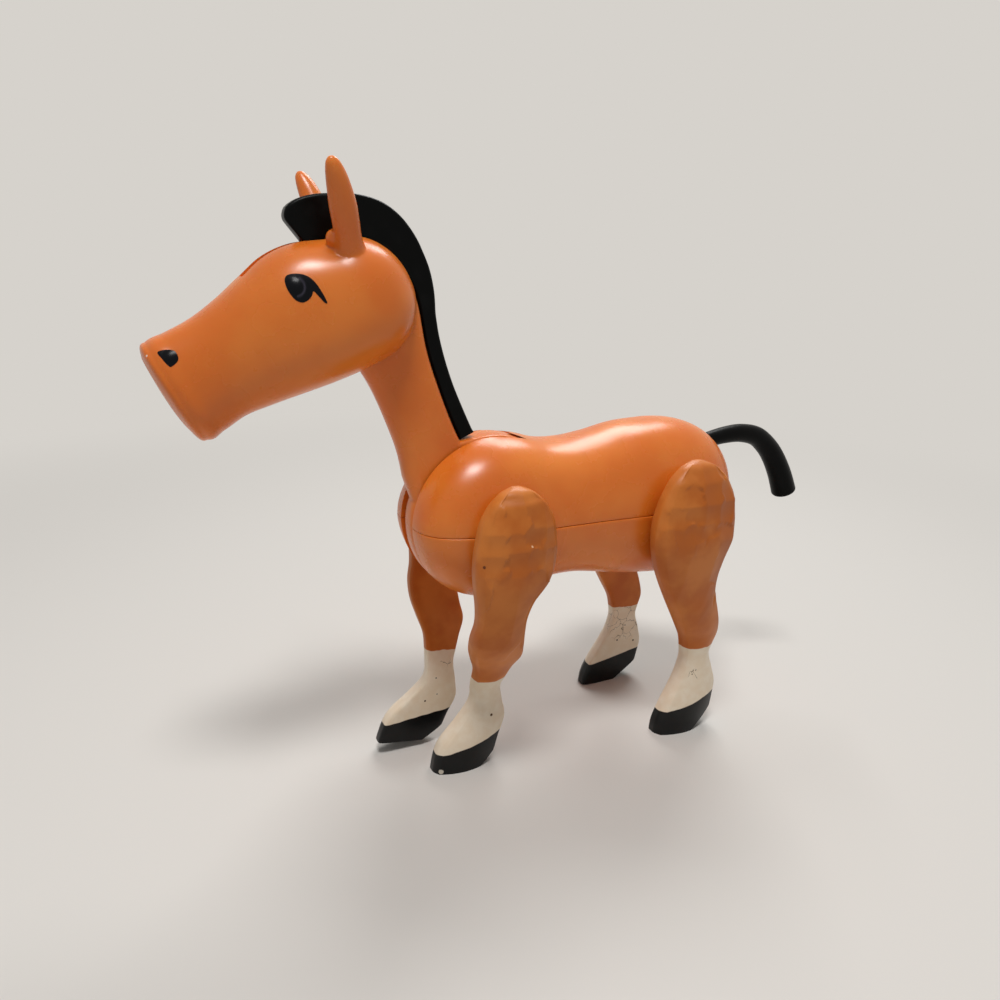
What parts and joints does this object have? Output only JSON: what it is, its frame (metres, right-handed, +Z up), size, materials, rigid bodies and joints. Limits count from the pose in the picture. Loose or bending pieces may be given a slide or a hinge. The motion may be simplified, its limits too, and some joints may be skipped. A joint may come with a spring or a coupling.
{
  "type": "toy horse figure",
  "caption": "Moulded plastic toy horse with a neck that raises and lowers, a nodding head, swinging legs and a swivelling tail.",
  "frame": {"origin": "centre of the bounding box's footprint at the floor; z = 0 is the plane of the soles that stand flat", "axes": "+X from the nose towards the tail, +Y towards the horse's right side, +Z up"},
  "size_m": [0.1162, 0.0332, 0.0935],
  "materials": {
    "body_orange": "glossy moulded orange",
    "leg_orange": "duller moulded orange, cream and black paint below",
    "black_mane": "flat black",
    "black_tail": "soft satin black"
  },
  "bodies": {
    "torso": {"back_shell": "body_orange", "belly_shell": "body_orange", "neck_pivot_pin": "body_orange"},
    "neck": {"neck": "body_orange", "mane": "black_mane", "head_pivot_pin": "body_orange"},
    "head": {"head_left_half": "body_orange", "head_right_half": "body_orange"},
    "tail": {"tail": "black_tail"},
    "front_left_leg": {"front_left_leg": "leg_orange", "front_left_leg_retainer": "leg_orange"},
    "front_right_leg": {"front_right_leg": "leg_orange", "front_right_leg_retainer": "leg_orange"},
    "rear_left_leg": {"rear_left_leg": "leg_orange", "rear_left_leg_retainer": "leg_orange"},
    "rear_right_leg": {"rear_right_leg": "leg_orange", "rear_right_leg_retainer": "leg_orange"}
  },
  "joints": [
    {"name": "neck_swing", "type": "hinge", "parent": "torso", "child": "neck", "pos_m": [-0.00975, 0, 0.0429], "axis": [0, -1, 0], "range_deg": [-35, 50]},
    {"name": "head_nod", "type": "hinge", "parent": "neck", "child": "head", "pos_m": [-0.03053, 0, 0.0759], "axis": [0, -1, 0], "range_deg": [-28, 20]},
    {"name": "front_left_leg_swing", "type": "hinge", "parent": "torso", "child": "front_left_leg", "pos_m": [-0.00975, 0, 0.0429], "axis": [0, 1, 0], "range_deg": [-40, 40]},
    {"name": "front_right_leg_swing", "type": "hinge", "parent": "torso", "child": "front_right_leg", "pos_m": [-0.00975, 0, 0.0429], "axis": [0, 1, 0], "range_deg": [-49.5, 30.5]},
    {"name": "rear_left_leg_swing", "type": "hinge", "parent": "torso", "child": "rear_left_leg", "pos_m": [0.02125, 0, 0.0429], "axis": [0, 1, 0], "range_deg": [-45, 45]},
    {"name": "rear_right_leg_swing", "type": "hinge", "parent": "torso", "child": "rear_right_leg", "pos_m": [0.02125, 0, 0.0429], "axis": [0, 1, 0], "range_deg": [-49.5, 40.5]},
    {"name": "tail_swivel", "type": "hinge", "parent": "torso", "child": "tail", "pos_m": [0.03472, 0, 0.0518], "axis": [1, 0, 0], "range_deg": [-60, 60]}
  ]
}
